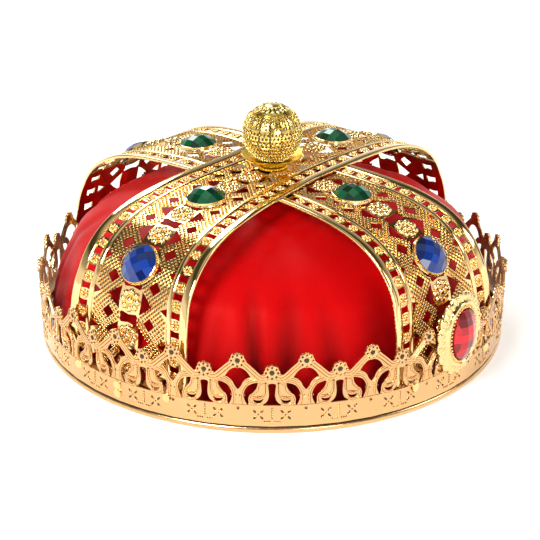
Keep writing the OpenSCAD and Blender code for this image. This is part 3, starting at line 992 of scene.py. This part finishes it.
def build_orb():
    """The ball: sectors and lines bent round it, a knob on top and a floor below."""
    flat = Relief()
    sector = orb_sector()
    for i in range(ORB_SECTORS):
        flat.join(sector, (i * SECTOR, 0, 0))
    steps = 96
    around = np.arange(steps) * 360 / steps
    for lat in ORB_LINES:
        flat.add(*stack_of_rings([points_at(around, lat + up, h) for up, h in LINE_PROFILE]))
    ball = flat.laid(on_orb)
    ball.add(*stack_of_rings([ring(r, ORB_Z + z, 24) for r, z in KNOB_ROWS], tip=ORB_Z + KNOB_TIP))
    ball.add(*stack_of_rings([ring(r, ORB_Z + z, 32) for r, z in FLOOR_ROWS]))
    mesh = to_mesh("orb", ball.points(), ball.faces, GOLD_BALL, pits=ball.pits)
    add_piece("orb_filigree", mesh, ["orb_upper", "orb_lower"], body="orb")


# Sections of the turned parts: radius, height, wave in radius, wave in height
CUP_ROWS = [(1.6, 70.9), (6.0, 70.9), (9.0, 71.2), (10.8, 71.9, 0.2, 0.1), (12.1, 73.0, 0.35, 0.3),
            (12.2, 73.4, 0.35, 0.3), (11.8, 73.3, 0.35, 0.3), (10.6, 72.5, 0.2, 0.1), (9.0, 71.9),
            (6.0, 71.65), (1.6, 71.65)]
NECK_ROWS = [(1.6, 68.92), (5.0, 68.92, 0.35), (5.25, 69.3, 0.4), (4.9, 69.9, 0.35),
             (5.25, 70.5, 0.4), (5.0, 70.88, 0.3), (1.6, 70.88)]
DISC_ROWS = [(1.6, 67.87), (5.6, 67.87), (5.9, 68.1), (5.6, 68.5), (1.6, 68.58)]
WAVES = 12
DISC_BEADS = 30


def wavy_ring_shape(rows, sides):
    """A closed ring about the Z axis with waves round it."""
    a = angles(sides)
    swing = np.cos(a * WAVES)

    def loop(radius, z, wave=0.0, rise=0.0):
        r = radius + wave * swing
        return points_at(r * np.cos(a), r * np.sin(a), z + rise * swing)

    return stack_of_rings([loop(*row) for row in rows], closed=True)


def build_cup_and_neck():
    """The wavy saucer under the ball and the fluted collar below it, which turn with it."""
    for name, style, rows in (("cup", "wavy", CUP_ROWS), ("neck", "fluted", NECK_ROWS)):
        mesh = to_mesh(name, *wavy_ring_shape(rows, 96), GOLD_WARM)
        add_piece(f"orb_{name}_{style}", mesh, [f"orb_{name}"], body="orb")


def build_base_disc():
    """The disc on the crossing, with a row of beads round its edge. It doesn't turn."""
    disc = Relief()
    disc.add(*wavy_ring_shape(DISC_ROWS, 48))
    disc.stamp(lifted(bead(0.55, 0.55, 8), 68.2), places_round(DISC_BEADS, 5.65, 5.65))
    mesh = to_mesh("disc", disc.points(), disc.faces, GOLD_WARM)
    add_piece("base_disc_beaded", mesh, ["base_disc"])


# ---- Cap ----

CAP_FLAT = 86.7  # distance of the flat behind each arch's foot
CAP_PROFILE = ([0, 16, 28, 36, 46, 60, 75, 90],
               [92.2, 91.7, 89.9, 85.1, 77.1, 69.1, 64.4, 62.2])  # degrees up, distance
CAP_GAP = 0.5  # the cloth keeps this far inside that surface
CAP_T = 1.0
CAP_LOW, CAP_HIGH = 2.6, 89.0  # degrees up of the lowest and the highest row
CAP_TURNS = 288
CAP_ROWS = 64
# The satin's painted shade: full in folds this deep, and growing below this many degrees towards the
# band
FULL_SHADE_FOLD = 3.0  # a fold this deep is quite dark
SHADE_FOOT = 24  # below this many degrees the cloth darkens down to the band

# Folds: each has a place round the crown, a depth, a width, a reach upwards and a lean
FOLD_COUNT = 34
fold_dice = np.random.default_rng(11)
fold_places = (np.arange(FOLD_COUNT) + fold_dice.uniform(-0.35, 0.35, FOLD_COUNT)) * TAU / FOLD_COUNT
FOLDS = list(zip(fold_places, *(fold_dice.uniform(low, high, FOLD_COUNT) for low, high in
                                ((1.5, 4.5), (0.9, 2.2), (30, 58), (-0.25, 0.25)))))


def smooth_least(a, b, blend):
    """The smaller of two lengths, rounded where they meet."""
    gap = np.clip(0.5 + (b - a) / (2 * blend), 0, 1)
    return b + (a - b) * gap - blend * gap * (1 - gap)


def folds(a, deg):
    """Depth of the valleys where the cloth is gathered into the band, deepest at the bottom."""
    depth = np.zeros_like(a)
    for centre, deep, wide, reach, lean in FOLDS:
        fade = np.clip(1 - deg / reach, 0, 1)
        off = np.degrees((a - centre + math.pi) % TAU - math.pi) - lean * deg
        width = wide * (1 + deg / 18)
        depth += deep * fade * np.exp(-(off / width) ** 2)
    return depth


def cap_surface(a, e):
    """Distance of the cloth from the centre, a round the crown and e above the floor."""
    deg = np.degrees(e)
    dome = np.interp(deg, *CAP_PROFILE)
    off = np.min([np.abs((a - turn + math.pi) % TAU - math.pi) for turn in LEG_TURNS], axis=0)
    dome = dome * (1 - 0.018 * np.cos(2 * off) ** 2 * np.cos(e))
    flat = CAP_FLAT / (np.cos(np.minimum(e, math.radians(80))) * np.cos(off))
    # The slack of the cloth, as slow waves
    soft = 0.7 * np.cos(5 * a + 4 * e) * np.cos(6 * e + 1.7) + 0.4 * np.cos(9 * a - 7 * e)
    return smooth_least(dome, flat, 1.2) - CAP_GAP - folds(a, deg) + 0.7 * soft * np.cos(e)


def cloth_shade_amount(a, deg):
    """How much painted shade each point of the satin gets, from 0 to 1: more in deep folds and low
    down near the band.
    """
    return np.clip(folds(a, deg) / FULL_SHADE_FOLD + 0.6 * (1 - deg / SHADE_FOOT), 0, 1)


def build_cap():
    """The satin cap: cloth and lining as one closed skin, joined at the bottom edge."""
    e = np.radians(np.linspace(CAP_LOW, CAP_HIGH, CAP_ROWS))
    a, e = np.meshgrid(angles(CAP_TURNS), e)
    loops = []
    for inset in (CAP_T, 0.0):
        r = cap_surface(a, e) - inset
        loops.append(np.stack([r * np.cos(e) * np.cos(a), r * np.cos(e) * np.sin(a),
                               r * np.sin(e)], -1))
    inner, outer = loops
    verts, faces = stack_of_rings([*inner[::-1], *outer])
    crown_top = outer[-1].mean(0)
    first = len(verts)
    verts = np.vstack([verts, crown_top, crown_top - (0, 0, CAP_T)])
    last_ring = (2 * CAP_ROWS - 1) * CAP_TURNS
    for i in range(CAP_TURNS):
        k = (i + 1) % CAP_TURNS
        faces.append([last_ring + i, last_ring + k, first])
        faces.append([k, i, first + 1])
    mesh = to_mesh("cap", verts, faces, SATIN, 80)
    # Painted shade: the satin darkens in its folds and towards the band
    painted_cloth_shade = cloth_shade_amount(a, np.degrees(e))
    tone = np.concatenate([painted_cloth_shade[::-1].ravel(), painted_cloth_shade.ravel(), [0, 0]])
    mesh.attributes.new("painted_cloth_shade", "FLOAT", "POINT").data.foreach_set("value", tone)
    cap = add_piece("cap_cloth", mesh, ["cap"])


# Section of the ribbon: (z, distance in from the cloth)
HEM_ROWS = ((4.0, 1.5), (4.0, 2.3), (10.0, 2.4), (16.0, 2.3), (16.0, 1.6), (10.0, 1.5))
HEM_R = 90.0  # only turns a height into an angle


def build_hem():
    """The ribbon that finishes the inside of the cap, sewn round just above its edge."""
    a = angles(CAP_TURNS)
    rings = []
    for z, inset in HEM_ROWS:
        e = np.arctan2(z, HEM_R)
        r = cap_surface(a, np.full(CAP_TURNS, e)) * np.cos(e) - inset
        rings.append(points_at(r * np.cos(a), r * np.sin(a), z))
    verts, faces = stack_of_rings(rings, closed=True)
    mesh = to_mesh("hem", verts, [f[::-1] for f in faces], RIBBON)
    hem = add_piece("hem_ribbon_sewn", mesh, ["cap_hem"])


# ---- Small hardware keeps its CAD shape ----

STEEL_NODES = ("centre_screw", "crossing_washer", "crossing_nut")


def finish_kept_nodes():
    """Gives the CAD nodes that stay in view steel or gold."""
    for name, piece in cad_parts.items():
        if not piece.hide_render:
            piece.data.materials.clear()
            piece.data.materials.append(STEEL if name in STEEL_NODES else GOLD)


# ---- Stage ----

FLOOR_SIZE = 6
FLOOR_Z = -0.0002
GLOW_NEAR, GLOW_FAR = (0.2, 0.42), (1.1, 1.0)  # (metres from the middle, strength)

# World: (sine of the height over the horizon, colour)
SKY = [(0.0, (1.0, 1.0, 1.0)), (0.18, (1.0, 1.0, 1.0)), (0.32, (0.42, 0.41, 0.37)),
       (0.50, (0.30, 0.29, 0.25)), (0.62, (0.05, 0.05, 0.03)), (0.80, (0.06, 0.06, 0.04)),
       (0.95, (0.6, 0.6, 0.55))]

# Lights: name, place, size, power. Cards: name, place, size.
LOOK_AT = Vector((0, 0, 0.05))
LIGHTS = [("key", (-1.1, -0.05, 0.95), 0.5, 16), ("low_front", (-0.62, -1.05, 0.5), 0.35, 3),
          ("fill", (0.6, -1.0, 0.8), 0.5, 4), ("back", (0.6, 0.9, 0.9), 0.6, 8)]
CARDS = [("card_left", (-1.0, -0.15, 0.18), (0.12, 0.5)),
         ("card_right", (0.75, -0.75, 0.18), (0.12, 0.5))]
CARD_COLOR = (0.03, 0.02, 0.01)

# Camera, from the fit to the photograph
CAMERA_AZIMUTH = math.radians(-52.5)
CAMERA_ELEVATION = math.radians(26.36)
CAMERA_DISTANCE = 0.676
CAMERA_LENS = 107.9
AIM_RIGHT, AIM_UP = math.tan(-0.0013), math.tan(0.0298)


def add_floor():
    """A white floor that glows a little, more so far out, so that it has no horizon."""
    bpy.ops.mesh.primitive_plane_add(size=FLOOR_SIZE, location=(0, 0, FLOOR_Z))
    floor = bpy.context.object
    floor.name = "floor"
    white, shader = new_material("floor_white", (0.85, 0.85, 0.85), 0.6)
    new, link = node_tools(white)
    coords = new("ShaderNodeTexCoord")
    distance = new("ShaderNodeVectorMath")
    glow = new("ShaderNodeMapRange")
    distance.operation = "LENGTH"
    for end, (at, strength) in (("Min", GLOW_NEAR), ("Max", GLOW_FAR)):
        set_inputs(glow, {"From " + end: at, "To " + end: strength})
    link(coords, "Object", distance, 0)
    link(distance, "Value", glow, "Value")
    link(glow, "Result", shader, "Emission Strength")
    set_inputs(shader, {"Emission Color": (1, 1, 1, 1)})
    floor.data.materials.append(white)


def add_world():
    """A white sweep low down, and a dim studio above it."""
    scene = bpy.context.scene
    scene.world = bpy.data.worlds.new("studio")
    scene.world.use_nodes = True
    background = scene.world.node_tree.nodes["Background"]
    new, link = node_tools(scene.world)
    coords = new("ShaderNodeTexCoord")
    split = new("ShaderNodeSeparateXYZ")
    ramp = new("ShaderNodeValToRGB")
    for at, color in SKY[1:-1]:
        ramp.color_ramp.elements.new(at)
    for element, (at, color) in zip(ramp.color_ramp.elements, SKY):
        element.position = at
        element.color = (*color, 1)
    link(coords, "Generated", split, "Vector")
    link(split, "Z", ramp, "Fac")
    link(ramp, "Color", background, "Color")
    set_inputs(background, {"Strength": 1.0})
    scene.view_settings.view_transform = "Standard"


def facing(place):
    """Rotation that turns a lamp or a card at a place to the crown."""
    return (LOOK_AT - Vector(place)).to_track_quat("-Z", "Y").to_euler()


def add_light(name, place, size, power):
    lamp = bpy.data.lights.new(name, "AREA")
    lamp.size = size
    lamp.energy = power
    light = new_object(name, lamp)
    light.location = place
    light.rotation_euler = facing(place)


def add_card(name, place, size):
    """A card that only reflections see, for the gold to show something dark."""
    bpy.ops.mesh.primitive_plane_add(size=1, location=place)
    card = bpy.context.object
    card.name = name
    card.scale = (*size, 1)
    card.rotation_euler = facing(place)
    card.data.materials.append(new_material(name, CARD_COLOR, 0.9)[0])
    card.visible_camera = False
    card.visible_shadow = False
    card.visible_diffuse = False


def add_camera():
    """The camera at the photograph's place, aimed a little off the crown's middle."""
    data = bpy.data.cameras.new("photo")
    data.lens = CAMERA_LENS
    data.sensor_width = 36
    camera = new_object("photo", data)
    level = math.cos(CAMERA_ELEVATION)
    away = Vector((level * math.sin(CAMERA_AZIMUTH), -level * math.cos(CAMERA_AZIMUTH),
                   math.sin(CAMERA_ELEVATION)))
    camera.location = away * CAMERA_DISTANCE
    view = -away
    right = view.cross(Vector((0, 0, 1))).normalized()
    aim = view + right * AIM_RIGHT + right.cross(view) * AIM_UP
    camera.rotation_euler = aim.to_track_quat("-Z", "Y").to_euler()
    bpy.context.scene.camera = camera


side_face = build_arch("side_arch", ARCH_H, 0.0, under=False)
front_face = build_arch("front_rear_arch", UNDER_ARCH_H, FRONT_REAR_TURN, under=True)
build_round_stones(side_face, front_face)
build_rosette()
build_band()
build_hoop()
build_orb()
build_cup_and_neck()
build_base_disc()
build_cap()
build_hem()
finish_kept_nodes()
add_floor()
add_world()
for light in LIGHTS:
    add_light(*light)
for card in CARDS:
    add_card(*card)
add_camera()
